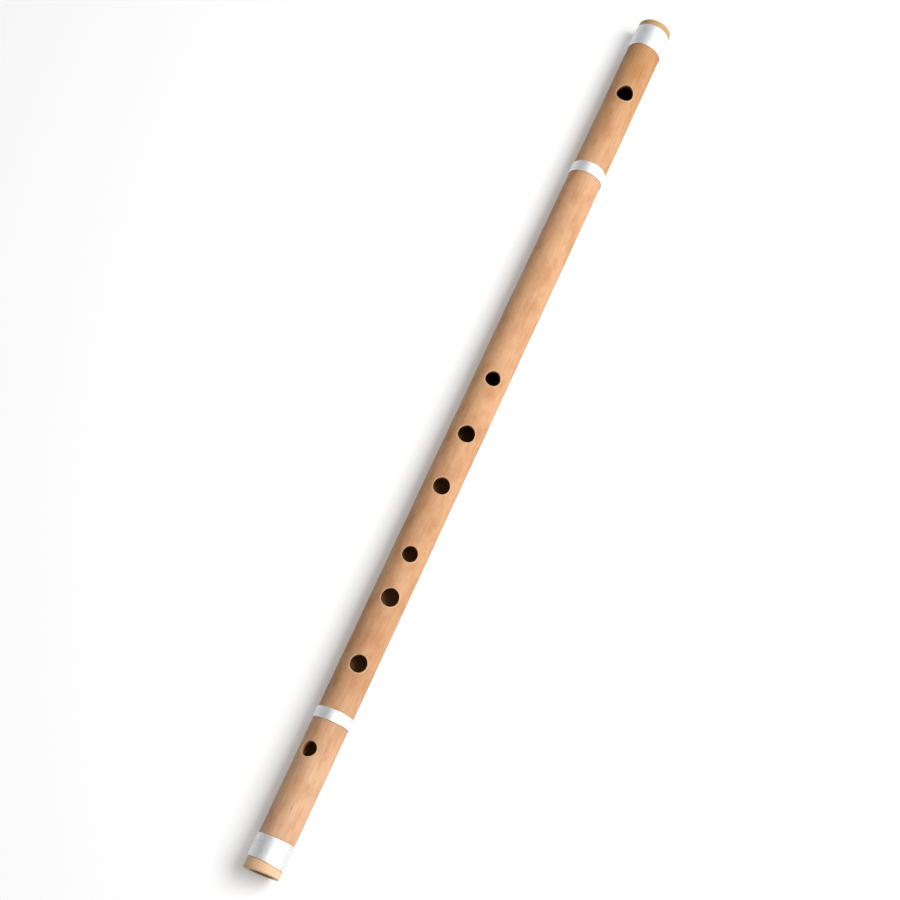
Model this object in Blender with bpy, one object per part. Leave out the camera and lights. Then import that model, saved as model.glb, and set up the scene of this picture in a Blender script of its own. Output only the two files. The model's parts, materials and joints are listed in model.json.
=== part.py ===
"""A bansuri: a side-blown flute made of one length of bamboo.

The flute lies along Y with its head at +Y and its finger holes facing up, and rests on its bands at Z = 0.
All sizes are in metres. The tube is turned from its profile, and the burnt holes are cut with lofted
cutters whose rim follows the round wall, so each hole has a soft edge all the way round its saddle.
"""

import math
from collections import namedtuple

import bmesh
import bpy
from mathutils import Matrix

# Places along the flute, each measured from the one before, head end to foot end
HEAD_TO_MOUTH = 0.0520
MOUTH_TO_HOLE_1 = 0.1863
HOLE_1_TO_2 = 0.0328
HOLE_2_TO_3 = 0.0301
HOLE_3_TO_4 = 0.0379
HOLE_4_TO_5 = 0.0233
HOLE_5_TO_6 = 0.0349
HOLE_6_TO_VENT = 0.0446
VENT_TO_FOOT = 0.0581

# The culm: it swells towards the node that was cut off above the head
HEAD_DIAMETER = 0.0186
FOOT_DIAMETER = 0.0173
WALL = 0.00265
END_ROUND = 0.0005

# The holes: across the flute, and along it
Hole = namedtuple("Hole", "name y width length turn corner")
MOUTH_WIDTH = 0.0089
MOUTH_LENGTH = 0.0097
MOUTH_CORNER = 0.045
HOLE_1_WIDTH = 0.0075
HOLE_2_WIDTH = 0.0084
HOLE_3_WIDTH = 0.0082
HOLE_4_WIDTH = 0.0075
HOLE_5_WIDTH = 0.0085
HOLE_6_WIDTH = 0.0080
HOLE_STRETCH = 1.06
VENT_WIDTH = 0.0074
VENT_TURN = math.radians(-31.0)
RIM_ROUND = 0.0004

# The bands of metal tape, each in a shallow seat scraped in the bamboo
BAND_THICKNESS = 0.0004
BAND_EDGE_ROUND = 0.00012
SEAT_DEPTH = 0.0003
HEAD_END_TO_BAND = 0.0040
HEAD_BAND_WIDTH = 0.0142
MOUTH_TO_UPPER_BAND = 0.0489
UPPER_BAND_WIDTH = 0.0065
LOWER_BAND_TO_VENT = 0.0152
LOWER_BAND_WIDTH = 0.0055
FOOT_END_TO_BAND = 0.0051
FOOT_BAND_WIDTH = 0.0113

# The cork stopper: its inner face lies about one bore above the mouth hole's centre
STOPPER_FACE_TO_MOUTH = 0.0130
STOPPER_LENGTH = 0.0190
STOPPER_CHAMFER = 0.0006

# Clearance between pieces that touch
TOUCH_GAP = 0.0003

# Facets
TUBE_SIDES = 48
BAND_SIDES = 32
TUBE_STEPS = 10
HOLE_POINTS = 24

LENGTH = (
    HEAD_TO_MOUTH
    + MOUTH_TO_HOLE_1
    + HOLE_1_TO_2
    + HOLE_2_TO_3
    + HOLE_3_TO_4
    + HOLE_4_TO_5
    + HOLE_5_TO_6
    + HOLE_6_TO_VENT
    + VENT_TO_FOOT
)
HEAD_Y = LENGTH / 2
FOOT_Y = -LENGTH / 2
MOUTH_Y = HEAD_Y - HEAD_TO_MOUTH
HOLE_1_Y = MOUTH_Y - MOUTH_TO_HOLE_1
HOLE_2_Y = HOLE_1_Y - HOLE_1_TO_2
HOLE_3_Y = HOLE_2_Y - HOLE_2_TO_3
HOLE_4_Y = HOLE_3_Y - HOLE_3_TO_4
HOLE_5_Y = HOLE_4_Y - HOLE_4_TO_5
HOLE_6_Y = HOLE_5_Y - HOLE_5_TO_6
VENT_Y = HOLE_6_Y - HOLE_6_TO_VENT


def finger_hole(name, y, width, turn_degrees=0.0):
    """A finger hole: the hot rod rocks along the flute, so each is a little longer than it is wide."""
    return Hole(name, y, width, width * HOLE_STRETCH, math.radians(turn_degrees), 0.0)


HOLES = [
    Hole("mouth_hole", MOUTH_Y, MOUTH_WIDTH, MOUTH_LENGTH, math.radians(-1.0), MOUTH_CORNER),
    finger_hole("finger_hole_1", HOLE_1_Y, HOLE_1_WIDTH, 3.0),
    finger_hole("finger_hole_2", HOLE_2_Y, HOLE_2_WIDTH, 1.0),
    finger_hole("finger_hole_3", HOLE_3_Y, HOLE_3_WIDTH, -1.0),
    finger_hole("finger_hole_4", HOLE_4_Y, HOLE_4_WIDTH),
    finger_hole("finger_hole_5", HOLE_5_Y, HOLE_5_WIDTH, 1.0),
    finger_hole("finger_hole_6", HOLE_6_Y, HOLE_6_WIDTH, -1.0),
    Hole("vent_hole", VENT_Y, VENT_WIDTH, VENT_WIDTH, VENT_TURN, 0.0),
]

# Each band's name and its two edges, foot side first
UPPER_BAND_TOP = MOUTH_Y - MOUTH_TO_UPPER_BAND
LOWER_BAND_FOOT = VENT_Y + LOWER_BAND_TO_VENT
BANDS = {
    "head_band": (HEAD_Y - HEAD_END_TO_BAND - HEAD_BAND_WIDTH, HEAD_Y - HEAD_END_TO_BAND),
    "upper_band": (UPPER_BAND_TOP - UPPER_BAND_WIDTH, UPPER_BAND_TOP),
    "lower_band": (LOWER_BAND_FOOT, LOWER_BAND_FOOT + LOWER_BAND_WIDTH),
    "foot_band": (FOOT_Y + FOOT_END_TO_BAND, FOOT_Y + FOOT_END_TO_BAND + FOOT_BAND_WIDTH),
}


def outer_radius(y):
    """The culm's radius at a place along the flute: a quarter sine from the foot up to the head."""
    share = (y - FOOT_Y) / LENGTH
    swell = math.sin(math.pi / 2 * min(max(share, 0.0), 1.0))
    return (FOOT_DIAMETER + (HEAD_DIAMETER - FOOT_DIAMETER) * swell) / 2


def bore_radius(y):
    return outer_radius(y) - WALL


def band_inner_radius(y):
    return outer_radius(y) - SEAT_DEPTH + TOUCH_GAP


def band_outer_radius(y):
    return band_inner_radius(y) + BAND_THICKNESS


# The flute rests on the flat facet at the bottom of its largest band
LARGEST_BAND_RADIUS = max(band_outer_radius(top) for _, top in BANDS.values())
AXIS_HEIGHT = LARGEST_BAND_RADIUS * math.cos(math.pi / BAND_SIDES)


def clear_scene():
    for item in list(bpy.data.objects):
        bpy.data.objects.remove(item, do_unlink=True)


def make_material(name, colour, roughness, metallic=0.0):
    material = bpy.data.materials.new(name)
    material.use_nodes = True
    shader = material.node_tree.nodes["Principled BSDF"]
    shader.inputs["Base Color"].default_value = (*colour, 1.0)
    shader.inputs["Roughness"].default_value = roughness
    shader.inputs["Metallic"].default_value = metallic
    material.diffuse_color = (*colour, 1.0)
    return material


def add_object(name, bm, material, location, parent):
    """Put a bmesh into the scene as a smooth-shaded object, and return the object."""
    bmesh.ops.recalc_face_normals(bm, faces=bm.faces)
    mesh = bpy.data.meshes.new(name)
    bm.to_mesh(mesh)
    bm.free()
    mesh.shade_smooth()
    mesh.set_sharp_from_angle(angle=math.radians(35.0))
    if material:
        mesh.materials.append(material)
    item = bpy.data.objects.new(name, mesh)
    item.location = location
    item.parent = parent
    bpy.context.collection.objects.link(item)
    return item


def turn_outline(outline, sides, closed):
    """Turn an outline of (y, radius) points about Y, with a flat facet at the top and at the bottom."""
    bm = bmesh.new()
    half_facet = math.pi / sides
    verts = []
    for y, radius in outline:
        verts.append(bm.verts.new((radius * math.sin(half_facet), y, radius * math.cos(half_facet))))
    edges = [bm.edges.new(pair) for pair in zip(verts, verts[1:])]
    if closed:
        edges.append(bm.edges.new((verts[-1], verts[0])))
    bmesh.ops.spin(
        bm, geom=verts + edges, cent=(0, 0, 0), axis=(0, 1, 0), angle=2 * math.pi, steps=sides, use_merge=True
    )
    bmesh.ops.remove_doubles(bm, verts=bm.verts, dist=0.000001)
    return bm


def corner_arc(y, radius, y_side, radius_side, size):
    """Points of a small round on an outline's corner. The sides say which way its two edges leave."""
    points = []
    for angle in (0.0, math.pi / 4, math.pi / 2):
        along = size * (1 - math.sin(angle))
        across = size * (1 - math.cos(angle))
        points.append((y + y_side * along, radius + radius_side * across))
    return points


def tube_outer_line():
    """The outer line between the rounded ends, foot to head, with the seats of the bands scraped into it."""
    stations = []
    seats = []
    for low, high in BANDS.values():
        seats.append((low - TOUCH_GAP, high + TOUCH_GAP))
    for low, high in seats:
        stations.append((low, outer_radius(low)))
        stations.append((low, outer_radius(low) - SEAT_DEPTH))
        stations.append((high, outer_radius(high) - SEAT_DEPTH))
        stations.append((high, outer_radius(high)))
    for step in range(1, TUBE_STEPS):
        y = FOOT_Y + LENGTH * step / TUBE_STEPS
        if not any(low <= y <= high for low, high in seats):
            stations.append((y, outer_radius(y)))
    return sorted(stations, key=lambda station: station[0])


def tube_outline():
    """The wall's outline: round foot corner, outer line, round head corner, and the bore back again."""
    outline = []
    outline += corner_arc(FOOT_Y, outer_radius(FOOT_Y), 1, -1, END_ROUND)[::-1]
    outline += tube_outer_line()
    outline += corner_arc(HEAD_Y, outer_radius(HEAD_Y), -1, -1, END_ROUND)
    outline += corner_arc(HEAD_Y, bore_radius(HEAD_Y), -1, 1, END_ROUND)[::-1]
    for step in range(TUBE_STEPS - 1, 0, -1):
        y = FOOT_Y + LENGTH * step / TUBE_STEPS
        outline.append((y, bore_radius(y)))
    outline += corner_arc(FOOT_Y, bore_radius(FOOT_Y), 1, 1, END_ROUND)
    return outline


def hole_ring(hole, grow):
    """A hole's outline seen along its own axis: an ellipse, with three soft corners where it has them."""
    points = []
    for index in range(HOLE_POINTS):
        angle = 2 * math.pi * (index + 0.5) / HOLE_POINTS
        swell = 1 + hole.corner * math.cos(3 * (angle - math.pi / 2))
        across = (hole.width / 2 * swell + grow) * math.cos(angle)
        along = (hole.length / 2 * swell + grow) * math.sin(angle)
        points.append((across, along))
    return points


def surface_height(hole, across, along):
    """Height of the outer wall over the flute's axis, beside a hole's centre."""
    return math.sqrt(outer_radius(hole.y + along) ** 2 - across ** 2)


def hole_cutter(hole, parent):
    """Loft a hole's cutter from inside the bore, up its wall and over its soft rim, to clear of the tube."""
    inside_bore = 0.5 * bore_radius(hole.y)
    flare_angle = math.radians(70.0)
    flare_rise = 0.0003
    clear_of_tube = outer_radius(hole.y) + 0.002

    rings = [[(x, y, inside_bore) for x, y in hole_ring(hole, 0.0)]]
    for angle in (0.0, flare_angle / 2, flare_angle):
        grow = RIM_ROUND * (1 - math.cos(angle))
        depth = RIM_ROUND * (1 - math.sin(angle))
        ring = hole_ring(hole, grow)
        rings.append([(x, y, surface_height(hole, x, y) - depth) for x, y in ring])
    flare = RIM_ROUND * (1 - math.cos(flare_angle)) + flare_rise * math.tan(flare_angle)
    ring = hole_ring(hole, flare)
    rings.append([(x, y, surface_height(hole, x, y) + flare_rise) for x, y in ring])
    rings.append([(x, y, clear_of_tube) for x, y in ring])

    bm = bmesh.new()
    loops = [[bm.verts.new(point) for point in ring] for ring in rings]
    for lower, upper in zip(loops, loops[1:]):
        for index in range(HOLE_POINTS):
            after = (index + 1) % HOLE_POINTS
            bm.faces.new((lower[index], lower[after], upper[after], upper[index]))
    bm.faces.new(loops[0])
    bm.faces.new(loops[-1])
    bmesh.ops.rotate(bm, verts=bm.verts, cent=(0, 0, 0), matrix=Matrix.Rotation(hole.turn, 3, "Y"))

    cutter = add_object(hole.name + "_cutter", bm, None, (0.0, hole.y, 0.0), parent)
    cutter.hide_render = True
    cutter.display_type = "WIRE"
    return cutter


def make_tube(material, parent):
    """The bamboo: one turned wall, open at both ends, cut by its eight burnt holes."""
    bm = turn_outline(tube_outline(), TUBE_SIDES, closed=True)
    tube = add_object("bamboo_tube", bm, material, (0.0, 0.0, 0.0), parent)
    for hole in HOLES:
        cut = tube.modifiers.new(hole.name, "BOOLEAN")
        cut.operation = "DIFFERENCE"
        cut.solver = "EXACT"
        cut.object = hole_cutter(hole, parent)
    return tube


def make_band(name, low, high, material, parent):
    """A band of wound tape: a thin ring that follows the culm's taper, with softened edges."""
    middle = (low + high) / 2
    outline = [(low - middle, band_inner_radius(low))]
    outline += corner_arc(low - middle, band_outer_radius(low), 1, -1, BAND_EDGE_ROUND)[::-1]
    outline += corner_arc(high - middle, band_outer_radius(high), -1, -1, BAND_EDGE_ROUND)
    outline.append((high - middle, band_inner_radius(high)))
    bm = turn_outline(outline, BAND_SIDES, closed=True)
    return add_object(name, bm, material, (0.0, middle, 0.0), parent)


def make_stopper(material, parent):
    """The cork: a plug cut to the bore's taper, chamfered at both faces, with its origin on the bore's axis."""
    low = MOUTH_Y + STOPPER_FACE_TO_MOUTH
    high = low + STOPPER_LENGTH
    middle = (low + high) / 2
    low_radius = bore_radius(low) - TOUCH_GAP
    high_radius = bore_radius(high) - TOUCH_GAP
    outline = [
        (low - middle, 0.0),
        (low - middle, low_radius - STOPPER_CHAMFER),
        (low - middle + STOPPER_CHAMFER, low_radius),
        (high - middle - STOPPER_CHAMFER, high_radius),
        (high - middle, high_radius - STOPPER_CHAMFER),
        (high - middle, 0.0),
    ]
    bm = turn_outline(outline, TUBE_SIDES, closed=False)
    return add_object("stopper", bm, material, (0.0, middle, 0.0), parent)


def main():
    clear_scene()
    bamboo = make_material("bamboo", (0.62, 0.36, 0.18), 0.45)
    silver_tape = make_material("silver_tape", (0.85, 0.86, 0.87), 0.3, metallic=1.0)
    cork = make_material("cork", (0.45, 0.27, 0.13), 0.85)

    axis = bpy.data.objects.new("flute_axis", None)
    axis.location = (0.0, 0.0, AXIS_HEIGHT)
    bpy.context.collection.objects.link(axis)

    make_tube(bamboo, axis)
    for name, (low, high) in BANDS.items():
        make_band(name, low, high, silver_tape, axis)
    make_stopper(cork, axis)


main()
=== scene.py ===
# %% [markdown]
# # A bamboo flute in a white studio
#
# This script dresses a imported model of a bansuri, the side-blown bamboo flute. The flute lies along Y with
# its head at +Y and its holes facing up, in metres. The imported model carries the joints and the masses. It
# could be rendered as it is, but its wall is a plain taper and its holes have machine-made edges. So the
# pieces made here ride on its bodies and give them their finer shape and their finish.

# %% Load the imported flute
import json
import math
from typing import NamedTuple

import bpy
import numpy as np
from mathutils import Matrix, Vector


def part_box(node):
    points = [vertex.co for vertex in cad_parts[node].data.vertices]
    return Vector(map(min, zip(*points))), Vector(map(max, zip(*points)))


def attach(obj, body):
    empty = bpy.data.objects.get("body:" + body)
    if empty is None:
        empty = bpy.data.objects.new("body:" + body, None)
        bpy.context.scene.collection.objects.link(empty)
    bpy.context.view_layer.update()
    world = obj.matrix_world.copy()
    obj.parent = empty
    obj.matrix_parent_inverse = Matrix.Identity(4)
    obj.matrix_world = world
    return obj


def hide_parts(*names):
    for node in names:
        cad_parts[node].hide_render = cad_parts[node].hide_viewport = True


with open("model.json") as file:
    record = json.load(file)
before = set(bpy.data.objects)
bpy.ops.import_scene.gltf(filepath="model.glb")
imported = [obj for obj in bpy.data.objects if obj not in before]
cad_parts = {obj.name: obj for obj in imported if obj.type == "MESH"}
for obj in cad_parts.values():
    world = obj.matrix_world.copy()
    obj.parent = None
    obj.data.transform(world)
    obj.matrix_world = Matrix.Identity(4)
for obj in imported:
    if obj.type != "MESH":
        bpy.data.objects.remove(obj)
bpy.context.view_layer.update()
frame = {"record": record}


def ends_of(node):
    """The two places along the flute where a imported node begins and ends."""
    low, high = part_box(node)
    return float(low[1]), float(high[1])


FOOT_Y, HEAD_Y = ends_of("bamboo_tube")
LENGTH = HEAD_Y - FOOT_Y
tube_low, tube_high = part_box("bamboo_tube")
AXIS_Z = float(tube_low[2] + tube_high[2]) / 2
print("flute of", round(LENGTH * 1000), "mm, its axis", round(AXIS_Z * 1000, 2), "mm over the ground")

# %% [markdown]
# ## The camera
#
# The flute was seen from above and from beyond its foot, through a lens of middling length, so it narrows
# towards its head. A camera could be aimed with a constraint, but its roll is then awkward to set. Here it is
# placed by what a photographer would say: how high, how far beyond the foot, how much it looks along the
# flute and to the side, and how much it is rolled.

# %% Camera
CAMERA_HEIGHT = 0.7246
CAMERA_BEYOND_FOOT = 0.0541
LOOK_FROM_VERTICAL = math.radians(21.034)
LOOK_SIDEWAYS = math.radians(-0.291)
ROLL = math.radians(25.158)
LENS_MM = 62.0
SENSOR_MM = 36.0
NEAREST_SEEN = 0.01


def camera_turn():
    """The camera's axes: look down and along the flute, turn sideways a little, then roll about the look."""
    look = Vector((math.sin(LOOK_SIDEWAYS), math.sin(LOOK_FROM_VERTICAL), -math.cos(LOOK_FROM_VERTICAL)))
    look.normalize()
    upright = (Vector((0, 1, 0)) - look * look.y).normalized()
    right = look.cross(upright)
    rolled_up = upright * math.cos(ROLL) - right * math.sin(ROLL)
    rolled_right = right * math.cos(ROLL) + upright * math.sin(ROLL)
    return Matrix((rolled_right, rolled_up, -look)).transposed()


camera_data = bpy.data.cameras.new("studio_camera")
camera_data.lens = LENS_MM
camera_data.sensor_width = SENSOR_MM
camera_data.clip_start = NEAREST_SEEN
camera = bpy.data.objects.new("studio_camera", camera_data)
camera_place = Matrix.Translation((0.0, FOOT_Y - CAMERA_BEYOND_FOOT, CAMERA_HEIGHT))
camera.matrix_world = camera_place @ camera_turn().to_4x4()
bpy.context.collection.objects.link(camera)
bpy.context.scene.camera = camera
print("camera", [round(value, 3) for value in camera.location])

# %% [markdown]
# ## Writing shaders as sums
#
# A material is easier to read as arithmetic than as a tangle of boxes. `Tap` wraps one socket and lets
# numbers on it be added, subtracted and multiplied, so that `1 - mask` is written as it is said.

# %% Tap


class Tap:
    """One output socket. Arithmetic on taps and plain numbers adds the Math nodes for it."""

    def __init__(self, recipe, socket):
        self.recipe = recipe
        self.socket = socket

    def combine(self, operation, first, second):
        """One Math node on two values, either of which may be a plain number."""
        return self.recipe.node("ShaderNodeMath", {"operation": operation}, {0: first, 1: second})

    def __add__(self, other):
        return self.combine("ADD", self, other)

    def __radd__(self, other):
        return self.combine("ADD", other, self)

    def __sub__(self, other):
        return self.combine("SUBTRACT", self, other)

    def __rsub__(self, other):
        return self.combine("SUBTRACT", other, self)

    def __mul__(self, other):
        return self.combine("MULTIPLY", self, other)

    def __rmul__(self, other):
        return self.combine("MULTIPLY", other, self)

    def larger(self, other):
        """The larger of the two values."""
        return self.combine("MAXIMUM", self, other)


print("taps are ready")

# %% [markdown]
# `Recipe` holds a node tree, and its single `node` method makes any node. `Finish` is the recipe of one
# material: the few moves that bamboo, foil, cork and paper all need, such as noise with a grain, a mix of two
# colours, and a relief. Colours are never added as taps, because a Math node would turn them grey.

# %% Recipe and Finish


class Recipe:
    """A node tree under construction. Its single node method makes any node."""

    def __init__(self, tree):
        self.tree = tree

    def node(self, kind, settings=None, sockets=None, out=0):
        """Make a node: its settings first, then the values or links of its sockets. Returns one output."""
        node = self.tree.nodes.new(kind)
        for setting, value in (settings or {}).items():
            if setting == "stops":
                ramp = node.color_ramp.elements
                while len(ramp) < len(value):
                    ramp.new(1.0)
                for element, (position, colour) in zip(ramp, value):
                    element.position = position
                    element.color = (*colour, 1.0)
            else:
                setattr(node, setting, value)
        for name, value in (sockets or {}).items():
            if isinstance(value, Tap):
                self.tree.links.new(value.socket, node.inputs[name])
            else:
                node.inputs[name].default_value = value
        return Tap(self, node.outputs[out])

    def step(self, value, low, high, to_low=0.0, to_high=1.0):
        """A smooth step from one value to another while the input goes from low to high."""
        sockets = {"Value": value, "From Min": low, "From Max": high, "To Min": to_low, "To Max": to_high}
        return self.node("ShaderNodeMapRange", {"interpolation_type": "SMOOTHSTEP"}, sockets)


class Finish(Recipe):
    """A material under construction, with its Principled shader."""

    def __init__(self, name):
        self.material = bpy.data.materials.new(name)
        self.material.use_nodes = True
        super().__init__(self.material.node_tree)
        self.shader = self.tree.nodes["Principled BSDF"]
        self.place = self.node("ShaderNodeTexCoord", out="Object")

    def coordinate(self, axis):
        """The place on the object along X, Y or Z, in metres."""
        return self.node("ShaderNodeSeparateXYZ", None, {0: self.place}, out=axis)

    def noise(self, grain, turn=(0.0, 0.0, 0.0), detail=3.0, shift=(0.0, 0.0, 0.0)):
        """Noise whose grain is how many features fit in a metre along X, Y and Z."""
        sockets = {"Vector": self.place, "Scale": grain, "Rotation": turn, "Location": shift}
        stretched = self.node("ShaderNodeMapping", None, sockets)
        return self.node("ShaderNodeTexNoise", None, {"Vector": stretched, "Scale": 1.0, "Detail": detail})

    def blend(self, share, first, second, kind="MIX"):
        """Mix two colours by a share."""
        sockets = {0: share, 6: first, 7: second}
        return self.node("ShaderNodeMix", {"data_type": "RGBA", "blend_type": kind}, sockets, out=2)

    def painted(self, name):
        """A number painted on the piece's own points."""
        return self.node("ShaderNodeAttribute", {"attribute_name": name}, None, out="Fac")

    def wear(self, **sockets):
        """Link or set the shader's own sockets."""
        for name, value in sockets.items():
            socket = self.shader.inputs[name.replace("_", " ")]
            if isinstance(value, Tap):
                self.tree.links.new(value.socket, socket)
            else:
                socket.default_value = value

    def relief(self, height, depth, strength):
        """Bump from a height of about 0 to 1, with the depth that 1 stands for in metres."""
        bump = self.node("ShaderNodeBump", None, {"Height": height, "Distance": depth, "Strength": strength})
        self.wear(Normal=bump)


print("recipes and finishes are ready")

# %% [markdown]
# ## Light
#
# One large soft lamp stands high on the right and throws the short soft shadow to the left of the flute. The
# room round it is paler on the lamp's side and dim on the other, so a round piece shades off to the left. A
# picture of a real room could light it too, but two plain levels are easier to tune. The backdrop is white to
# the camera alone, so it adds no light.

# %% Lamp and room
LAMP_PLACE = Vector((0.62, 0.22, 1.10))
LAMP_SIZE = 0.85
LAMP_POWER = 17.6
ROOM_LEFT = 0.16
ROOM_RIGHT = 0.40
ROOM_IN_METAL = 1.7
ROOM_SIDES_FROM = 0.8
WHITE = (1.0, 1.0, 1.0, 1.0)

lamp_data = bpy.data.lights.new("soft_lamp", "AREA")
lamp_data.size = LAMP_SIZE
lamp_data.energy = LAMP_POWER
lamp = bpy.data.objects.new("soft_lamp", lamp_data)
lamp.location = LAMP_PLACE
lamp.rotation_euler = (-LAMP_PLACE).to_track_quat("-Z", "Y").to_euler()
bpy.context.collection.objects.link(lamp)

world = bpy.data.worlds.new("pale_room")
bpy.context.scene.world = world
world.use_nodes = True
room = Recipe(world.node_tree)
direction = room.node("ShaderNodeTexCoord", out="Generated")
sideways = room.node("ShaderNodeSeparateXYZ", None, {0: direction}, out="X")
camera_ray = room.node("ShaderNodeLightPath", out="Is Camera Ray")
glossy_ray = room.node("ShaderNodeLightPath", out="Is Glossy Ray")
room_level = room.step(sideways, -ROOM_SIDES_FROM, ROOM_SIDES_FROM, ROOM_LEFT, ROOM_RIGHT)
room_level = room_level * (1 + glossy_ray * (ROOM_IN_METAL - 1))
seen_level = room_level * (1 - camera_ray) + camera_ray
backdrop = world.node_tree.nodes["Background"]
backdrop.inputs["Color"].default_value = WHITE
world.node_tree.links.new(seen_level.socket, backdrop.inputs["Strength"])
bpy.context.scene.view_settings.view_transform = "Standard"
print("lamp", round(LAMP_PLACE.length, 2), "m away")

# %% [markdown]
# ## Floor
#
# The flute lies on plain white paper. The floor keeps the shadow because it is an ordinary matte surface, and
# a little light of its own, seen only by the camera and in reflections, lifts it to white. The culm is
# thicker at its head, so the paper is set a fraction of a degree off level: both end bands then touch it.

# %% Floor
FLOOR_HALF = 2.5
FLOOR_RISE_TO_FOOT = 0.00062
FLOOR_COLOUR = (0.78, 0.78, 0.78, 1.0)
FLOOR_LIFT = 0.26
PAPER_GRAIN = (900.0, 900.0, 900.0)
PAPER_DULLS = (0.3, 0.7)
PAPER_ROUGHNESS = (0.85, 0.95)
HEAD_BAND_Y = 0.24
END_BANDS_APART = 0.96 * LENGTH

floor_slope = -FLOOR_RISE_TO_FOOT / END_BANDS_APART
corners = np.array([(-1, -1), (1, -1), (1, 1), (-1, 1)]) * FLOOR_HALF
floor_points = np.column_stack([corners, floor_slope * (corners[:, 1] - HEAD_BAND_Y)])
floor_mesh = bpy.data.meshes.new("white_paper")
floor_mesh.from_pydata(floor_points.tolist(), [], [(0, 1, 2, 3)])
floor = bpy.data.objects.new("white_paper", floor_mesh)
bpy.context.collection.objects.link(floor)

paper = Finish("white_paper")
paper_grain = paper.step(paper.noise(PAPER_GRAIN), *PAPER_DULLS, *PAPER_ROUGHNESS)
paper_seen = paper.node("ShaderNodeLightPath", out="Is Camera Ray")
paper_mirrored = paper.node("ShaderNodeLightPath", out="Is Glossy Ray")
paper.wear(Base_Color=FLOOR_COLOUR, Specular_IOR_Level=0.0, Roughness=paper_grain)
paper.wear(Emission_Color=WHITE, Emission_Strength=(paper_seen + paper_mirrored) * FLOOR_LIFT)
floor_mesh.materials.append(paper.material)
print("floor of", 2 * FLOOR_HALF, "m")

# %% [markdown]
# ## The shape of the culm
#
# Bamboo is a natural tube: it swells towards the node that was cut off above the head, and it is never quite
# round. A cylinder with a bend would look turned on a lathe. Here the outer and inner skins are both
# functions of the place along the flute and the angle round it, so every later piece can ask them where the
# wall is.

# %% Culm profile
HEAD_DIAMETER = 0.0186
FOOT_DIAMETER = 0.0173
WALL = 0.00265
OVALITY = 0.000035
OVAL_TURN = 0.7
WAVE_HEIGHT = 0.00002
LONG_WAVES = 70.0
SHORT_WAVES = 173.0
SHORT_WAVE_SHARE = 0.6


def mean_radius(y):
    """A quarter sine from the foot's radius up to the head's."""
    share = np.clip((y - FOOT_Y) / LENGTH, 0.0, 1.0)
    return (FOOT_DIAMETER + (HEAD_DIAMETER - FOOT_DIAMETER) * np.sin(math.pi / 2 * share)) / 2


def skin_radius(y, angle):
    """The mean radius, a slight oval, and long and short shallow waves along the culm."""
    oval = OVALITY * np.cos(2 * angle + OVAL_TURN)
    long_wave = WAVE_HEIGHT * np.sin(LONG_WAVES * y + 2 * np.sin(angle))
    short_wave = SHORT_WAVE_SHARE * WAVE_HEIGHT * np.sin(SHORT_WAVES * y + 3 * angle)
    return mean_radius(y) + oval + long_wave + short_wave


def bore_radius(y, angle=0.0):
    """The mean radius less the wall, the same at every angle."""
    return mean_radius(y) - WALL + 0 * angle


def on_tube(y, angle, radius):
    """The point at an angle from straight up, towards +X, and at a radius from the flute's axis."""
    return np.stack([radius * np.sin(angle), y + 0 * angle, AXIS_Z + radius * np.cos(angle)], axis=-1)


print("culm from", FOOT_DIAMETER * 1000, "to", HEAD_DIAMETER * 1000, "mm")

# %% [markdown]
# ## The burnt holes
#
# Each hole is burnt with a hot rod held square to the culm, so its outline is round seen along the rod and
# saddle-shaped on the wall. The mouth hole is filed to three soft corners, and the vent sits round the side.
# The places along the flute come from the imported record's openings, so the holes stay where the model's are.
# The widths and the angles from straight up are each hole's own.

# %% Holes
HAND_WAVER = 0.00003
CHARRED = 0.60
ONLY_SCORCHED = 0.35

MOUTH_WIDTH = 0.0089
MOUTH_LENGTH = 0.0097
MOUTH_TURN = -1.0
MOUTH_CORNER = 0.018
FINGER_STRETCH = 1.06
VENT_WIDTH = 0.0074
VENT_TURN = -31.0
VENT_PATCH_TURN = -30.0
# The width of each finger hole, and its angle from straight up in degrees
FINGER_HOLES = [(0.0075, 3.0), (0.0084, 1.0), (0.0082, -1.0), (0.0075, 0.0), (0.0085, 1.0), (0.0080, -1.0)]


class Hole(NamedTuple):
    """A hole's place along the flute, its size, its angle from straight up, and a seed for its waver.

    Then how much its corners swell, where its patch of the wall is centred, and how burnt its wall begins.
    """

    y: float
    width: float
    length: float
    degrees: float
    seed: int
    corner: float = 0.0
    patch_degrees: float = 0.0
    char: float = CHARRED


hole_y = {}
for opening in frame["record"]["physics"]["openings"]:
    low_corner, high_corner = opening["box_m"]
    hole_y[opening["name"]] = (low_corner[1] + high_corner[1]) / 2

holes = [Hole(hole_y["mouth_hole"], MOUTH_WIDTH, MOUTH_LENGTH, MOUTH_TURN, 0, MOUTH_CORNER)]
for number, (width, degrees) in enumerate(FINGER_HOLES, start=1):
    holes.append(Hole(hole_y[f"finger_hole_{number}"], width, width * FINGER_STRETCH, degrees, number))
vent = Hole(hole_y["vent_hole"], VENT_WIDTH, VENT_WIDTH, VENT_TURN, len(holes))
holes.append(vent._replace(patch_degrees=VENT_PATCH_TURN, char=ONLY_SCORCHED))


def hole_outline(hole, bearing, grow):
    """An ellipse with a threefold swell for the corners, grown outwards, with the waver of a hand.

    The waver is two waves, twice and five times round, which begin at places of the hole's own.
    """
    swell = 1 + hole.corner * np.cos(3 * (bearing - math.pi / 2))
    waver = HAND_WAVER * np.sin(2 * bearing + hole.seed)
    waver = waver + HAND_WAVER / 2 * np.sin(5 * bearing + 2.3 * hole.seed)
    across = (hole.width / 2 * swell + grow + waver) * np.cos(bearing)
    along = (hole.length / 2 * swell + grow + waver) * np.sin(bearing)
    return across, along


print("holes at", [round(hole.y * 1000, 1) for hole in holes], "mm")

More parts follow.
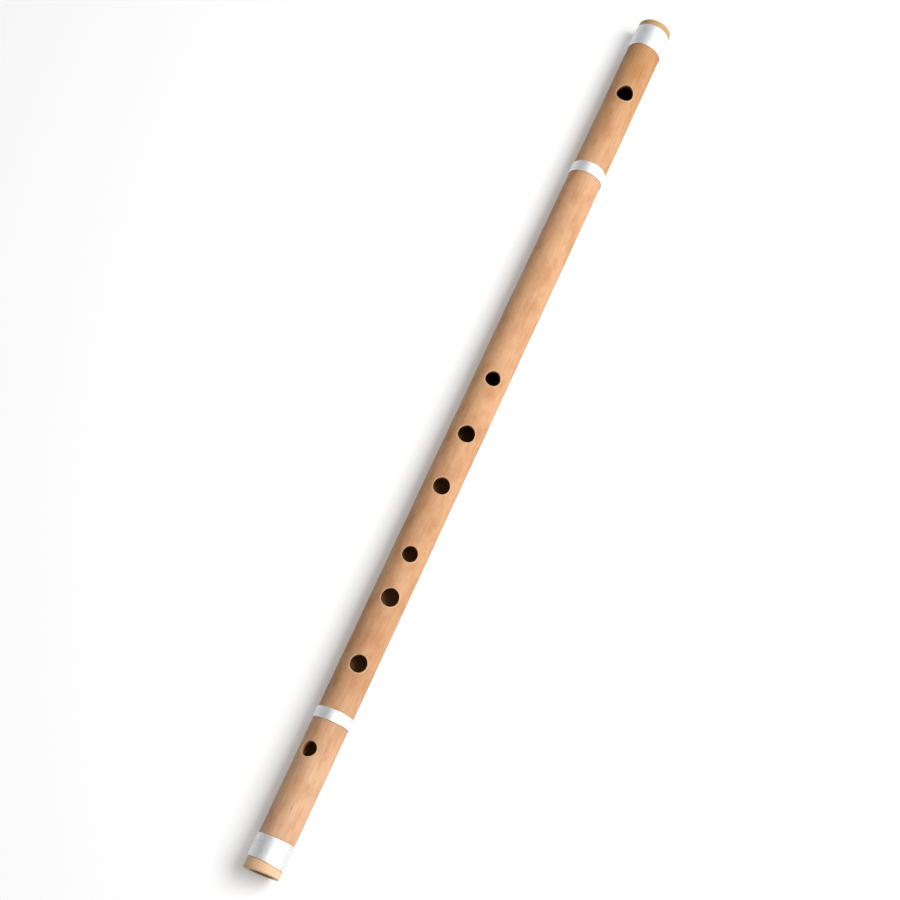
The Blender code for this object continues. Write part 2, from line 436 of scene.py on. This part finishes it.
# %% [markdown]
# ## The culm's mesh
#
# A drilled tube could be made by cutting cylinders out of it, but the cut leaves long thin faces that shade
# badly. Here the whole wall is one grid, carried round the flute: up the outer skin, over the head's cut end,
# down the bore and over the foot's. The rows are closer together where a hole will come. The ends are sawn by
# hand, and the foot's cut is a little oblique.

# %% Culm grid
SIDES = 96
PATCH_ROWS = 24
PATCH_HALF = 0.0074
PLAIN_STEP = 0.005
ROUND_STEPS = 5
END_ROUND = 0.0005
FOOT_CUT_SLANT = 0.0009
FOOT_CUT_REACH = 0.006


def rows_along():
    """Rows at each hole's patch, and evenly spaced rows over the plain lengths between them."""
    rows = []
    before = FOOT_Y + END_ROUND
    for centre in sorted(hole.y for hole in holes):
        count = max(2, int((centre - PATCH_HALF - before) / PLAIN_STEP) + 1)
        rows.append(np.linspace(before, centre - PATCH_HALF, count, endpoint=False))
        rows.append(np.linspace(centre - PATCH_HALF, centre + PATCH_HALF, PATCH_ROWS, endpoint=False))
        before = centre + PATCH_HALF
    rows.append(np.linspace(before, HEAD_Y - END_ROUND, int((HEAD_Y - before) / PLAIN_STEP) + 2))
    return np.concatenate(rows)


def round_end(end_y, inwards):
    """The end's two quarter rounds: the outer skin turns over into the cut face, and that into the bore."""
    quarter = np.linspace(0, math.pi / 2, ROUND_STEPS + 1)[1:]
    back = quarter[::-1]
    y = end_y + inwards * END_ROUND * (1 - np.sin(np.concatenate([quarter, back])))
    outer = mean_radius(end_y) - END_ROUND * (1 - np.cos(quarter))
    inner = bore_radius(end_y) + END_ROUND * (1 - np.cos(back))
    return y[:, None], np.concatenate([outer, inner])[:, None]


around = (2 * math.pi * np.arange(SIDES) / SIDES)[None, :]
row_y = rows_along()
up_rows = row_y[:, None]
down_rows = up_rows[::-1]
head_y, head_radius = round_end(HEAD_Y, -1)
foot_y, foot_radius = round_end(FOOT_Y, 1)
wall = np.concatenate([
    on_tube(up_rows, around, skin_radius(up_rows, around)),
    on_tube(head_y, around, head_radius + 0 * around),
    on_tube(down_rows, around, bore_radius(down_rows, around)),
    on_tube(foot_y[::-1], around, foot_radius[::-1] + 0 * around),
])
# The foot's cut leans: its right side is drawn towards the head, less and less above the end
near_foot = np.clip(1 - (wall[..., 1] - FOOT_Y) / FOOT_CUT_REACH, 0, 1)
to_the_right = (1 + wall[..., 0] / (FOOT_DIAMETER / 2)) / 2
wall[..., 1] += FOOT_CUT_SLANT * near_foot * to_the_right
print("wall grid of", wall.shape[0], "by", wall.shape[1])

# %% [markdown]
# The finish has to know which part of the wall it is on. So four numbers are painted on the points: how burnt
# they are, whether they lie on a hole's pale rim, inside the bore, or on a cut end.

# %% Numbers painted on the grid
ROWS = len(row_y)
BORE_START = ROWS + len(head_y)
BORE_END = BORE_START + ROWS
LOOP = len(wall)
PAINTS = ("burnt", "pale_rim", "inside", "cut_face")

grid_paint = {paint: np.zeros((LOOP, SIDES)) for paint in PAINTS}
grid_paint["inside"][BORE_START:BORE_END] = 1.0
grid_paint["cut_face"][ROWS:BORE_START] = 1.0
grid_paint["cut_face"][BORE_END:] = 1.0
print("rows:", ROWS, "outside and inside,", LOOP, "in all")

# %% [markdown]
# ## The holes' patches
#
# Round each hole a block of the grid's cells is left out, and a patch of rings takes its place: from the
# block's edge in to the hole's rim, over the soft rim, down the burnt wall and out again to the same block on
# the inner skin. The rings start and end on the grid's own points, so the wall stays closed.

# %% Rings of a patch
RIM_ROUND = 0.0004
FULLY_BURNT = 0.95
# Share of the way from the block's border to the rim, and how pale that ring is
SKIN_RINGS = [(0.22, 0.0), (0.42, 0.0), (0.60, 0.0), (0.76, 0.0), (0.88, 0.0), (0.96, 0.5), (1.0, 1.0)]
# Share of the way down the wall
WALL_RINGS = [0.15, 0.35, 0.55, 0.75, 0.92, 1.0]
# Share of the way from the block's border to the rim, on the inner skin
BORE_RINGS = [0.85, 0.6, 0.3]


class Ring(NamedTuple):
    """One ring of a patch: its points, and the numbers painted on them."""

    points: np.ndarray
    burnt: float = 0.0
    pale_rim: float = 0.0
    inside: float = 0.0
    cut_face: float = 0.0


def patch_rings(hole, border_angle, border_y):
    """All rings of a patch, for a border given by its angles and places from the hole's centre.

    They go in over the skin, round the soft rim, down the burnt wall and out again over the bore.
    """
    turn = math.radians(hole.degrees)
    bearing = np.arctan2(border_y, border_angle * mean_radius(hole.y))

    def ring_on(radius_at, share, grow):
        """A share of the way from the block's border to the hole's outline, on one skin."""
        across, along = hole_outline(hole, bearing, grow)
        rim_angle = np.arcsin(across / radius_at(hole.y + along, turn))
        ring_angle = border_angle + (rim_angle - border_angle) * share + turn
        ring_y = hole.y + border_y + (along - border_y) * share
        return on_tube(ring_y, ring_angle, radius_at(ring_y, ring_angle))

    def ring_under(grow, share, sunk):
        """Square under the outline: a share of the way from the inner to the sunk outer skin."""
        across, along = hole_outline(hole, bearing, grow)
        ring_y = hole.y + along
        top = np.sqrt(skin_radius(ring_y, turn) ** 2 - across ** 2) - sunk
        bottom = np.sqrt(bore_radius(ring_y) ** 2 - across ** 2)
        height = bottom + (top - bottom) * share
        x = across * math.cos(turn) + height * math.sin(turn)
        z = height * math.cos(turn) - across * math.sin(turn)
        return np.stack([x, ring_y, AXIS_Z + z], axis=-1)

    rings = [Ring(ring_on(skin_radius, share, RIM_ROUND), pale_rim=pale) for share, pale in SKIN_RINGS]
    for level in np.linspace(1, 0, ROUND_STEPS + 1)[1:]:
        lean = level * math.pi / 2
        points = ring_under(RIM_ROUND * (1 - math.cos(lean)), 1.0, RIM_ROUND * (1 - math.sin(lean)))
        rings.append(Ring(points, burnt=CHARRED * (1 - level) ** 2, pale_rim=level))
    for share in WALL_RINGS:
        points = ring_under(0.0, 1 - share, RIM_ROUND * (1 - share))
        rings.append(Ring(points, burnt=hole.char + (FULLY_BURNT - hole.char) * share))
    for share in BORE_RINGS:
        rings.append(Ring(ring_on(bore_radius, share, 0.0), burnt=share / 2, inside=1.0))
    return rings


print("a patch has", len(SKIN_RINGS) + ROUND_STEPS + len(WALL_RINGS) + len(BORE_RINGS), "rings")

# %% [markdown]
# Each patch is tied to the grid by point numbers. The border of the block on the outer skin, the patch's own
# rings and the border of the block on the inner skin make one chain, and four-sided faces are strung between
# its links.

# %% Patches tied to the grid
PATCH_COLUMNS = 32
BORDER = 2 * (PATCH_ROWS + PATCH_COLUMNS)


def block_border(first_row, first_column):
    """Rows and columns of the block's border, once round, turning from +X towards +Y."""
    last_row = first_row + PATCH_ROWS
    last_column = first_column + PATCH_COLUMNS
    foot_side = [(first_row, column) for column in range(first_column, last_column)]
    right_side = [(row, last_column) for row in range(first_row, last_row)]
    head_side = [(last_row, column) for column in range(last_column, first_column, -1)]
    left_side = [(row, first_column) for row in range(last_row, first_row, -1)]
    return np.array(foot_side + right_side + head_side + left_side).T


def chain_faces(chain):
    """Four-sided faces between rows of point numbers, each row closed on itself."""
    after = np.roll(chain, -1, axis=1)
    return np.stack([chain[:-1], after[:-1], after[1:], chain[1:]], axis=-1).reshape(-1, 4)


grid_index = np.arange(LOOP * SIDES).reshape(LOOP, SIDES)
keep_cell = np.ones((LOOP, SIDES), dtype=bool)
all_rings = []
chains = []
for hole in holes:
    first_row = int(np.argmin(np.abs(row_y - (hole.y - PATCH_HALF))))
    first_column = round(hole.patch_degrees / 360 * SIDES) - PATCH_COLUMNS // 2
    block_rows = np.arange(first_row, first_row + PATCH_ROWS)
    block_columns = np.arange(first_column, first_column + PATCH_COLUMNS) % SIDES
    keep_cell[np.ix_(block_rows, block_columns)] = False
    # The bore's rows run the other way, from the head to the foot
    keep_cell[np.ix_(BORE_END - 2 - block_rows, block_columns)] = False

    rows, columns = block_border(first_row, first_column)
    border_angle = columns * 2 * math.pi / SIDES - math.radians(hole.degrees)
    rings = patch_rings(hole, border_angle, row_y[rows] - hole.y)
    start = (LOOP * SIDES) + len(all_rings) * BORDER
    own = start + np.arange(len(rings) * BORDER).reshape(len(rings), BORDER)
    outer_border = grid_index[rows, columns % SIDES]
    inner_border = grid_index[BORE_END - 1 - rows, columns % SIDES]
    chains.append(np.vstack([outer_border, own, inner_border]))
    all_rings.extend(rings)
print(len(chains), "patches of", BORDER, "points a ring")

# %% [markdown]
# ## Turning arrays into a piece
#
# The culm is one piece of bamboo, so its wall and its patches become one mesh. They could be separate
# meshes, but a seam would then show round each hole. All pieces come from arrays of points and of faces, so
# one helper makes them and lays the painted numbers on their points. A grid that closes on itself both ways,
# like the culm's wall or a band, gets its faces from the numbers of its points.

# %% Culm


def make_piece(name, points, face_arrays, painted=None):
    """A smooth mesh from an array of points and a list of arrays of faces, with numbers painted on it."""
    mesh = bpy.data.meshes.new(name)
    mesh.from_pydata(points.tolist(), [], sum((faces.tolist() for faces in face_arrays), []))
    for key, values in (painted or {}).items():
        layer = mesh.attributes.new(key, "FLOAT", "POINT")
        layer.data.foreach_set("value", values.astype(np.float32))
    mesh.shade_smooth()
    mesh.update()
    piece = bpy.data.objects.new(name, mesh)
    bpy.context.collection.objects.link(piece)
    return piece


def loop_faces(index):
    """Four-sided faces over a grid of point numbers that closes on itself both ways, one for each cell."""
    right = np.roll(index, -1, axis=1)
    up = np.roll(index, -1, axis=0)
    return np.stack([index, right, np.roll(up, -1, axis=1), up], axis=-1)


culm_points = np.concatenate([wall.reshape(-1, 3)] + [ring.points for ring in all_rings])
culm_faces = [loop_faces(grid_index)[keep_cell]] + [chain_faces(chain) for chain in chains]
culm_paint = {}
for paint in PAINTS:
    on_rings = np.repeat([getattr(ring, paint) for ring in all_rings], BORDER)
    culm_paint[paint] = np.concatenate([grid_paint[paint].ravel(), on_rings])
culm = make_piece("bamboo_culm", culm_points, culm_faces, culm_paint)
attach(culm, "flute")
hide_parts("bamboo_tube")
print("culm has", len(culm.data.polygons), "faces")

# %% [markdown]
# ## Where the bands sit
#
# Four bands of metal tape are wound on by hand, so none is quite square to the flute. Their places are the
# imported model's own, and each could be turned there as an object. How they slant is a number here instead,
# because both the tape and the painted shade line on the bamboo beside it follow it.

# %% Bands' slants


class Band(NamedTuple):
    """A band's slant in degrees, a seed for its edges, and how much more its lower edge slants."""

    slant: float
    seed: float
    splay: float = 0.0


bands = {
    "head_band": Band(-1.2, 0.3),
    "upper_band": Band(0.0, 1.9),
    "lower_band": Band(1.3, 3.1),
    "foot_band": Band(1.6, 4.6, -4.5),
}
print(len(bands), "bands")

# %% [markdown]
# ## Bamboo's skin
#
# The scraped and oiled skin is a warm tan, paler at the foot and browner by the head. A picture of wood
# wrapped round the tube would repeat and show its seam. Here a ramp gives the colour along the flute, and
# noise stretched along it gives the fibres, the blotchy stain over them and a few dark dashes.

# %% Skin
# The skin's colour at places along the flute, as shares of its length from the foot
SKIN_ALONG = [
    (0.02, (0.77, 0.475, 0.295)),
    (0.10, (0.755, 0.45, 0.265)),
    (0.18, (0.635, 0.348, 0.186)),
    (0.28, (0.665, 0.365, 0.192)),
    (0.45, (0.695, 0.388, 0.204)),
    (0.78, (0.70, 0.395, 0.215)),
    (0.90, (0.61, 0.33, 0.155)),
    (0.975, (0.555, 0.28, 0.118)),
    (0.995, (0.60, 0.38, 0.17)),
]
STAIN = (0.84, 0.75, 0.66, 1.0)
FIBRE = (0.90, 0.85, 0.78, 1.0)
DASH = (0.66, 0.55, 0.45, 1.0)
# The noise at which each mark begins to show and shows in full
STAIN_SHOWS = (0.40, 0.74)
MOTTLE_SHOWS = (0.42, 0.80)
FIBRE_SHOWS = (0.45, 0.72)
DASH_SHOWS = (0.74, 0.80)
MOTTLE_SHARE = 0.55
FIBRE_SHARE = 0.8

bamboo = Finish("scraped_bamboo")
place_across = bamboo.coordinate("X")
place_along = bamboo.coordinate("Y")
fibres = bamboo.noise((1700.0, 26.0, 1700.0), detail=4.0)
blotches = bamboo.noise((150.0, 62.0, 150.0), detail=4.0, shift=(3.1, 1.7, 0.4))
mottle = bamboo.noise((620.0, 210.0, 620.0), detail=3.0, shift=(1.1, 6.7, 2.4))
dashes = bamboo.noise((1500.0, 240.0, 1500.0), detail=1.0, shift=(7.0, 2.0, 5.0))

share_along = (place_along - FOOT_Y) * (1 / LENGTH)
skin = bamboo.node("ShaderNodeValToRGB", {"stops": SKIN_ALONG}, {"Fac": share_along})
skin = bamboo.blend(bamboo.step(blotches, *STAIN_SHOWS), skin, STAIN, "MULTIPLY")
skin = bamboo.blend(bamboo.step(mottle, *MOTTLE_SHOWS, 0.0, MOTTLE_SHARE), skin, STAIN, "MULTIPLY")
skin = bamboo.blend(bamboo.step(fibres, *FIBRE_SHOWS, 0.0, FIBRE_SHARE), skin, FIBRE, "MULTIPLY")
skin = bamboo.blend(bamboo.step(dashes, *DASH_SHOWS), skin, DASH, "MULTIPLY")
print("skin of", len(SKIN_ALONG), "colours")

# %% [markdown]
# Beyond the foot band a slice of the culm was turned down to fresh wood, with fine tool lines round it. And
# where tape meets bamboo, a thin line of shade under the tape's edge is painted onto the bamboo. It is found
# by
# arithmetic: how far a point lies beyond the nearer of a band's two slanted edges.

# %% Turned slice and painted edge shade
FRESH = (0.97, 0.64, 0.42, 1.0)
TOOL_LINE = (0.82, 0.52, 0.29, 1.0)
TOOL_LINE_SHOWS = (0.35, 0.65)
TURNED_FROM = -0.2432
TURNED_FULLY = -0.2438
# The colour and width of the painted shade line on the bamboo beside each band's edges
EDGE_SHADE = (0.42, 0.33, 0.27, 1.0)
EDGE_SHADE_WIDTH = 0.00035

tool_lines = bamboo.noise((40.0, 5200.0, 40.0), detail=2.0)
turned = bamboo.step(place_along, TURNED_FROM, TURNED_FULLY)
fresh = bamboo.blend(bamboo.step(tool_lines, *TOOL_LINE_SHOWS), FRESH, TOOL_LINE)
skin = bamboo.blend(turned, skin, fresh)
for node, band in bands.items():
    low, high = ends_of(node)
    below = place_across * math.tan(math.radians(band.slant + band.splay)) + low - place_along
    above = place_along - place_across * math.tan(math.radians(band.slant)) - high
    # The bamboo darkens within a hair of each band's edge: painted shade under the tape's edge
    edge_shade = bamboo.step(below.larger(above), 0.0, EDGE_SHADE_WIDTH, 1.0, 0.0)
    skin = bamboo.blend(edge_shade, skin, EDGE_SHADE, "MULTIPLY")
print("grime beside", len(bands), "bands")

# %% [markdown]
# The painted numbers say where the wall is cut, bored or burnt. The cut ends show pores. The bore is brown,
# with painted shade from the upper finger holes to the head, where it is nearly black. A hole's rim is
# scraped a little pale, then scorched, and its wall is nearly black. Each part could have a material of its
# own, but the scorch has to fade over the rim, and a painted number fades as its points do.

# %% Cut, bored and burnt wood
END_WOOD = (0.80, 0.55, 0.32, 1.0)
END_PORE = (0.42, 0.25, 0.12, 1.0)
PORE_GRAIN = (2600.0, 2600.0, 2600.0)
PORE_SHOWS = (0.52, 0.62)
BORE_BROWN = (0.42, 0.23, 0.11, 1.0)
# Painted shade in the bore, nearly black from the upper finger holes to the head
BORE_SHADE = (0.06, 0.035, 0.02, 1.0)
BORE_SHADE_FROM = -0.06
BORE_SHADE_FULLY = 0.02
RIM_TAN = (0.92, 0.66, 0.44, 1.0)
RIM_SHARE = 0.32
SCORCH = (0.42, 0.17, 0.055, 1.0)
CHAR = (0.030, 0.015, 0.008, 1.0)
SCORCH_FULLY = 0.55
BAMBOO_GLOSS = 0.28
BAMBOO_DULLS = (0.7, 1.3)
BAMBOO_ROUGHNESS = (0.50, 0.64)
BURNT_ROUGHER = 0.35
FIBRE_HEIGHT = 0.6
MOTTLE_HEIGHT = 0.3
TOOL_HEIGHT = 0.4
BAMBOO_RELIEF = 0.00005
BAMBOO_BUMP = 0.35

pores = bamboo.noise(PORE_GRAIN, detail=1.0)
end_grain = bamboo.blend(bamboo.step(pores, *PORE_SHOWS), END_WOOD, END_PORE)
skin = bamboo.blend(bamboo.painted("cut_face"), skin, end_grain)
# The bore goes from brown to nearly black towards the head: painted shade inside the bore
bore_colour = bamboo.blend(bamboo.step(place_along, BORE_SHADE_FROM, BORE_SHADE_FULLY), BORE_BROWN, BORE_SHADE)
skin = bamboo.blend(bamboo.painted("inside"), skin, bore_colour)
skin = bamboo.blend(bamboo.painted("pale_rim") * RIM_SHARE, skin, RIM_TAN)
burnt = bamboo.painted("burnt")
skin = bamboo.blend(bamboo.step(burnt, 0.0, SCORCH_FULLY), skin, SCORCH)
skin = bamboo.blend(bamboo.step(burnt, SCORCH_FULLY, FULLY_BURNT), skin, CHAR)
roughness = bamboo.step(fibres + blotches, *BAMBOO_DULLS, *BAMBOO_ROUGHNESS) + BURNT_ROUGHER * burnt
bamboo.wear(Base_Color=skin, Specular_IOR_Level=BAMBOO_GLOSS, Roughness=roughness)
bamboo_height = FIBRE_HEIGHT * fibres + MOTTLE_HEIGHT * mottle + tool_lines * turned * TOOL_HEIGHT
bamboo.relief(bamboo_height, BAMBOO_RELIEF, BAMBOO_BUMP)
culm.data.materials.append(bamboo.material)
print("bamboo finish of", len(bamboo.tree.nodes), "nodes")

# %% [markdown]
# ## Bands of metal tape
#
# Each band is a few turns of silver-coloured metal tape, wound on and pressed down. A ring with square edges
# would look like a machined part. So the edges are small rounds that waver by hairs, the face has shallow
# dents, and the loose end makes a small step on the underside. A band is one closed outline of tape carried
# round the culm.

# %% Bands
BAND_SIDES = 240
TAPE_PROUD = 0.00035
TAPE_SUNK = 0.00012
EDGE_ROUND = 0.00010
EDGE_POINTS = 5
FACE_POINTS = 12
UNDER_POINTS = 6
EDGE_WAVER = 0.00004
FINE_WAVER = 0.000025
DENT = 0.000012
LAP_STEP = 0.000035
LAP_FROM = math.radians(150.0)
LAP_TO = math.radians(205.0)
LAP_RISE = math.radians(1.2)
LAP_FADE = math.radians(20.0)


def tape_outline(width):
    """Closed outline of (place across the tape, height over the culm's skin).

    It is a quarter round at each outer edge, a flat face between them, and an underside within the skin.
    """
    half = width / 2
    steps = np.linspace(0, math.pi / 2, EDGE_POINTS)
    edge_across = -half + EDGE_ROUND * (1 - np.cos(steps))
    edge_lift = TAPE_PROUD - EDGE_ROUND * (1 - np.sin(steps))
    low_edge = np.stack([edge_across, edge_lift], axis=-1)
    high_edge = low_edge[::-1] * np.array([-1.0, 1.0])
    face_across = np.linspace(-half, half, FACE_POINTS + 2)[1:-1]
    face = np.stack([face_across, np.full(FACE_POINTS, TAPE_PROUD)], axis=-1)
    under = np.stack([np.linspace(half, -half, UNDER_POINTS), np.full(UNDER_POINTS, -TAPE_SUNK)], axis=-1)
    return np.concatenate([low_edge, face, high_edge, under])


def wound_tape(name, band):
    """The tape's outline carried round the culm: slanted, its edges wavering, with a step where it laps.

    The slant moves a point by the tangent of its angle times the point's place to the side. The edges waver
    in two waves, three and eight times round, and the dents are the product of two more.
    """
    low, high = ends_of(name)
    middle = (low + high) / 2
    outline = tape_outline(high - low)
    across = outline[:, :1]
    lift = outline[:, 1:]
    turn = (2 * math.pi * np.arange(BAND_SIDES) / BAND_SIDES)[None, :]
    waver = EDGE_WAVER * np.sin(3 * turn + band.seed) + FINE_WAVER * np.sin(8 * turn + 2 * band.seed)
    edge_share = across / ((high - low) / 2)
    bumps = skin_radius(middle + across, turn) - mean_radius(middle + across)
    slope = math.tan(math.radians(band.slant))
    slope = slope + math.tan(math.radians(band.splay)) * (1 - edge_share) / 2
    aside = skin_radius(middle + across, turn) * np.sin(turn)
    y = middle + across + waver * edge_share ** 3 + slope * aside
    lap = np.clip((turn - LAP_FROM) / LAP_RISE, 0, 1) * np.clip((LAP_TO - turn) / LAP_FADE, 0, 1)
    dents = DENT * np.sin(11 * turn + 900 * across + band.seed) * np.sin(5 * turn - 1400 * across)
    proud = (lift > 0) * (LAP_STEP * lap + dents)
    points = on_tube(y, turn, mean_radius(y) + bumps + lift + proud).reshape(-1, 3)
    index = np.arange(len(points)).reshape(-1, BAND_SIDES)
    return make_piece(name.replace("band", "tape"), points, [loop_faces(index).reshape(-1, 4)])


tapes = []
for node, band in bands.items():
    tape = wound_tape(node, band)
    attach(tape, "flute")
    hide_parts(node)
    tapes.append(tape)
print("tapes:", {tape.name: len(tape.data.polygons) for tape in tapes})

# %% [markdown]
# ## The tape's finish
#
# The tape is thin foil with a brushed face. Fine streaks run round the band and a few cross it at a slant,
# where it was rubbed down, with smudges over them. Metal takes its look from what it mirrors, so a colour
# alone would look like grey paint: the streaks go into roughness and relief too.

# %% Tape finish
FOIL_BRIGHT = (0.90, 0.91, 0.92, 1.0)
FOIL_STREAK = (0.76, 0.77, 0.79, 1.0)
FOIL_SMUDGE = (0.80, 0.79, 0.77, 1.0)
STREAK_SHOWS = (0.30, 0.70)
SMUDGE_SHOWS = (0.45, 0.75)
SMUDGE_SHARE = 0.7
RUB_SLANT = 0.9
RUB_DULLS = 0.5
FINE_DULLS = 0.3
FOIL_DULLS = (0.6, 1.2)
FOIL_ROUGHNESS = (0.56, 0.74)
STREAK_HEIGHT = 0.5
RUB_HEIGHT = 0.6
FINE_HEIGHT = 0.3
SMUDGE_HEIGHT = 1.6
FOIL_RELIEF = 0.00016
FOIL_BUMP = 0.85

foil = Finish("brushed_foil")
streaks = foil.noise((45.0, 3600.0, 45.0), detail=4.0)
rubs = foil.noise((2200.0, 160.0, 160.0), turn=(0.0, 0.0, RUB_SLANT), detail=2.0, shift=(1.0, 4.0, 2.0))
fine = foil.noise((5200.0, 5200.0, 5200.0), detail=2.0)
smudges = foil.noise((160.0, 160.0, 160.0), detail=3.0)
foil_colour = foil.blend(foil.step(streaks, *STREAK_SHOWS), FOIL_BRIGHT, FOIL_STREAK)
smudged = foil.step(smudges, *SMUDGE_SHOWS, 0.0, SMUDGE_SHARE)
foil_colour = foil.blend(smudged, foil_colour, FOIL_SMUDGE)
foil_dullness = streaks + RUB_DULLS * rubs + FINE_DULLS * fine
foil_roughness = foil.step(foil_dullness, *FOIL_DULLS, *FOIL_ROUGHNESS)
foil.wear(Base_Color=foil_colour, Metallic=1.0, Roughness=foil_roughness)
foil_height = STREAK_HEIGHT * streaks + RUB_HEIGHT * rubs + FINE_HEIGHT * fine + SMUDGE_HEIGHT * smudges
foil.relief(foil_height, FOIL_RELIEF, FOIL_BUMP)
for tape in tapes:
    tape.data.materials.append(foil.material)
print("foil finish of", len(foil.tree.nodes), "nodes")

# %% [markdown]
# ## The cork stopper
#
# A plug cut from a bottle's cork closes the bore just above the mouth hole. It shows only from the head end.
# A cylinder with a bevel would do, but its faces would be too true. So it is a profile turned about the
# flute's axis, with softened edges, faces a little hollow from the knife and a lumpy side. It ends in a fan
# of triangles at each pole.

# %% Stopper
STOPPER_SIDES = 96
STOPPER_CHAMFER = 0.0006
FACE_HOLLOW = 0.0003
FACE_RINGS = 7
SIDE_RINGS = 16
FREE_OF_BORE = 0.00005
LUMP = 0.00003
LUMPS_SUNK = 0.00002


def cork_plug():
    """A profile from near one face's middle, over the side, to near the other's, turned about the axis.

    The lumps are the product of two waves that run round and along the side, less towards the middle.
    """
    low, high = ends_of("stopper")
    radius = bore_radius(low) - FREE_OF_BORE
    face = np.linspace(0.0, 1.0, FACE_RINGS + 1)[1:]
    face_radius = face * (radius - STOPPER_CHAMFER)
    hollow = FACE_HOLLOW * (1 - face ** 2)
    side = np.linspace(low + STOPPER_CHAMFER, high - STOPPER_CHAMFER, SIDE_RINGS)
    y = np.concatenate([low + hollow, side, (high - hollow)[::-1]])[:, None]
    profile = np.concatenate([face_radius, np.full(SIDE_RINGS, radius), face_radius[::-1]])[:, None]
    turn = (2 * math.pi * np.arange(STOPPER_SIDES) / STOPPER_SIDES)[None, :]
    lumps = LUMP * np.sin(7 * turn + 2100 * y) * np.sin(3 * turn - 1300 * y)
    turned_points = on_tube(y, turn, profile + lumps * (profile / radius) - LUMPS_SUNK).reshape(-1, 3)
    poles = np.array([[0.0, low + FACE_HOLLOW, AXIS_Z], [0.0, high - FACE_HOLLOW, AXIS_Z]])

    index = np.arange(len(turned_points)).reshape(-1, STOPPER_SIDES)
    low_pole, high_pole = index.size + np.array([[0], [1]]) + np.zeros((1, STOPPER_SIDES), dtype=int)
    low_fan = np.stack([low_pole, np.roll(index[0], -1), index[0]], axis=-1)
    high_fan = np.stack([high_pole, index[-1], np.roll(index[-1], -1)], axis=-1)
    return np.concatenate([turned_points, poles]), [chain_faces(index), low_fan, high_fan]


plug = make_piece("cork_plug", *cork_plug())
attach(plug, "plug")
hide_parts("stopper")
print("plug has", len(plug.data.polygons), "faces")

# %% [markdown]
# Cork is dull and mealy: two browns in coarse grains, with small dark pits that are longer along the plug. A
# picture of cork would be sharper, but it would show its seam round the side. The pits are the same noise in
# colour and in relief, so that each dark spot is also a hollow.

# %% Cork finish
CORK_PALE = (0.50, 0.31, 0.16, 1.0)
CORK_BROWN = (0.38, 0.21, 0.10, 1.0)
CORK_PIT = (0.12, 0.06, 0.03, 1.0)
GRAIN_SHOWS = (0.35, 0.68)
PIT_SHOWS = (0.62, 0.70)
PIT_SINKS = (0.60, 0.70)
CORK_DULLS = (0.3, 0.7)
CORK_ROUGHNESS = (0.80, 0.92)
GRAIN_HEIGHT = 0.5
PIT_DEPTH = 0.6
CORK_RELIEF = 0.0002
CORK_BUMP = 0.7

cork = Finish("bottle_cork")
grains = cork.noise((420.0, 420.0, 420.0), detail=5.0)
pits = cork.noise((1500.0, 500.0, 1500.0), detail=2.0, shift=(2.0, 5.0, 1.0))
cork_colour = cork.blend(cork.step(grains, *GRAIN_SHOWS), CORK_PALE, CORK_BROWN)
cork_colour = cork.blend(cork.step(pits, *PIT_SHOWS), cork_colour, CORK_PIT)
cork.wear(Base_Color=cork_colour, Roughness=cork.step(grains, *CORK_DULLS, *CORK_ROUGHNESS))
cork_height = GRAIN_HEIGHT * grains - PIT_DEPTH * cork.step(pits, *PIT_SINKS)
cork.relief(cork_height, CORK_RELIEF, CORK_BUMP)
plug.data.materials.append(cork.material)
print("cork finish of", len(cork.tree.nodes), "nodes")
